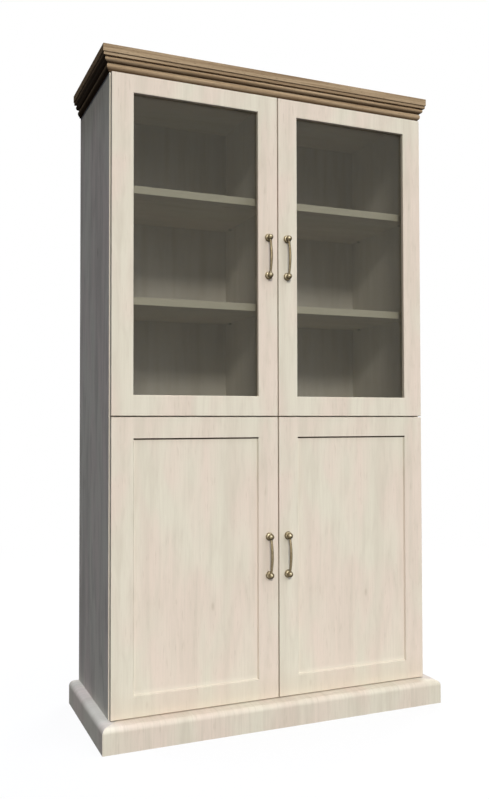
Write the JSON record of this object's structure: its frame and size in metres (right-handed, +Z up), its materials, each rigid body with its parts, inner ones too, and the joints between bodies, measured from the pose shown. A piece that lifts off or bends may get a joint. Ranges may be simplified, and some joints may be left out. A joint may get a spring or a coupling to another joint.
{
  "type": "bookcase with glass doors",
  "caption": "Tall free-standing bookcase: glazed doors above panelled doors, adjustable shelves behind both, a brown beaded crown, a round-nosed plinth and bow handles.",
  "frame": {"origin": "on the floor, under the middle of the outline, which is the plinth's", "axes": "+X to the right of someone facing the doors, +Y to the back, +Z up"},
  "size_m": [1.218, 0.515, 2.1825],
  "materials": {
    "door_pine": "satin pale pine foil, upright grain",
    "carcass_pine": "satin pale pine foil",
    "plinth_pine": "satin pale pine foil, level grain",
    "back_board": "satin pale pine print",
    "crown_oak": "satin mid-brown oak, level grain",
    "glass": "clear float glass, faint warm grey tint",
    "antique_brass": "aged brass",
    "hinge_steel": "nickel-plated steel",
    "screw_steel": "zinc-plated steel",
    "clip_plastic": "clear-white moulded plastic",
    "bumper_rubber": "soft clear rubber",
    "dowel_beech": "plain beech"
  },
  "bodies": {
    "carcass": {"back_panel_screws": "screw_steel", "bottom_panel": "carcass_pine", "carcass_dowels": "dowel_beech", "crown_front_moulding": "crown_oak", "crown_left_moulding": "crown_oak", "crown_right_moulding": "crown_oak", "crown_top_board": "crown_oak", "door_bumpers": "bumper_rubber", "hinge_arms": "hinge_steel", "hinge_plate_screws": "screw_steel", "hinge_plates": "hinge_steel", "left_back_panel": "back_board", "left_side_panel": "carcass_pine", "lower_left_high_shelf": "carcass_pine", "lower_left_low_shelf": "carcass_pine", "lower_partition": "carcass_pine", "lower_right_high_shelf": "carcass_pine", "lower_right_low_shelf": "carcass_pine", "middle_deck": "carcass_pine", "plinth_back_rail": "plinth_pine", "plinth_front": "plinth_pine", "plinth_left": "plinth_pine", "plinth_right": "plinth_pine", "right_back_panel": "back_board", "right_side_panel": "carcass_pine", "shelf_pins": "hinge_steel", "top_front_rail": "carcass_pine", "top_panel": "carcass_pine", "upper_left_high_shelf": "carcass_pine", "upper_left_low_shelf": "carcass_pine", "upper_partition": "carcass_pine", "upper_right_high_shelf": "carcass_pine", "upper_right_low_shelf": "carcass_pine"},
    "upper_left_leaf": {"upper_left_door_frame": "door_pine", "upper_left_glass": "glass", "upper_left_glass_clip_screws": "screw_steel", "upper_left_glass_clips": "clip_plastic", "upper_left_handle": "antique_brass", "upper_left_handle_screws": "screw_steel", "upper_left_hinge_cups": "hinge_steel", "upper_left_hinge_pins": "hinge_steel"},
    "upper_right_leaf": {"upper_right_door_frame": "door_pine", "upper_right_glass": "glass", "upper_right_glass_clip_screws": "screw_steel", "upper_right_glass_clips": "clip_plastic", "upper_right_handle": "antique_brass", "upper_right_handle_screws": "screw_steel", "upper_right_hinge_cups": "hinge_steel", "upper_right_hinge_pins": "hinge_steel"},
    "lower_left_leaf": {"lower_left_door": "door_pine", "lower_left_handle": "antique_brass", "lower_left_handle_screws": "screw_steel", "lower_left_hinge_cups": "hinge_steel", "lower_left_hinge_pins": "hinge_steel"},
    "lower_right_leaf": {"lower_right_door": "door_pine", "lower_right_handle": "antique_brass", "lower_right_handle_screws": "screw_steel", "lower_right_hinge_cups": "hinge_steel", "lower_right_hinge_pins": "hinge_steel"}
  },
  "joints": [
    {"name": "upper_left_hinge", "type": "hinge", "parent": "carcass", "child": "upper_left_leaf", "pos_m": [-0.5625, -0.1955, 1.559], "axis": [0, 0, -1], "range_deg": [0, 95]},
    {"name": "upper_right_hinge", "type": "hinge", "parent": "carcass", "child": "upper_right_leaf", "pos_m": [0.5625, -0.1955, 1.559], "axis": [0, 0, 1], "range_deg": [0, 95]},
    {"name": "lower_left_hinge", "type": "hinge", "parent": "carcass", "child": "lower_left_leaf", "pos_m": [-0.5625, -0.1955, 0.5485], "axis": [0, 0, -1], "range_deg": [0, 95]},
    {"name": "lower_right_hinge", "type": "hinge", "parent": "carcass", "child": "lower_right_leaf", "pos_m": [0.5625, -0.1955, 0.5485], "axis": [0, 0, 1], "range_deg": [0, 95]}
  ]
}
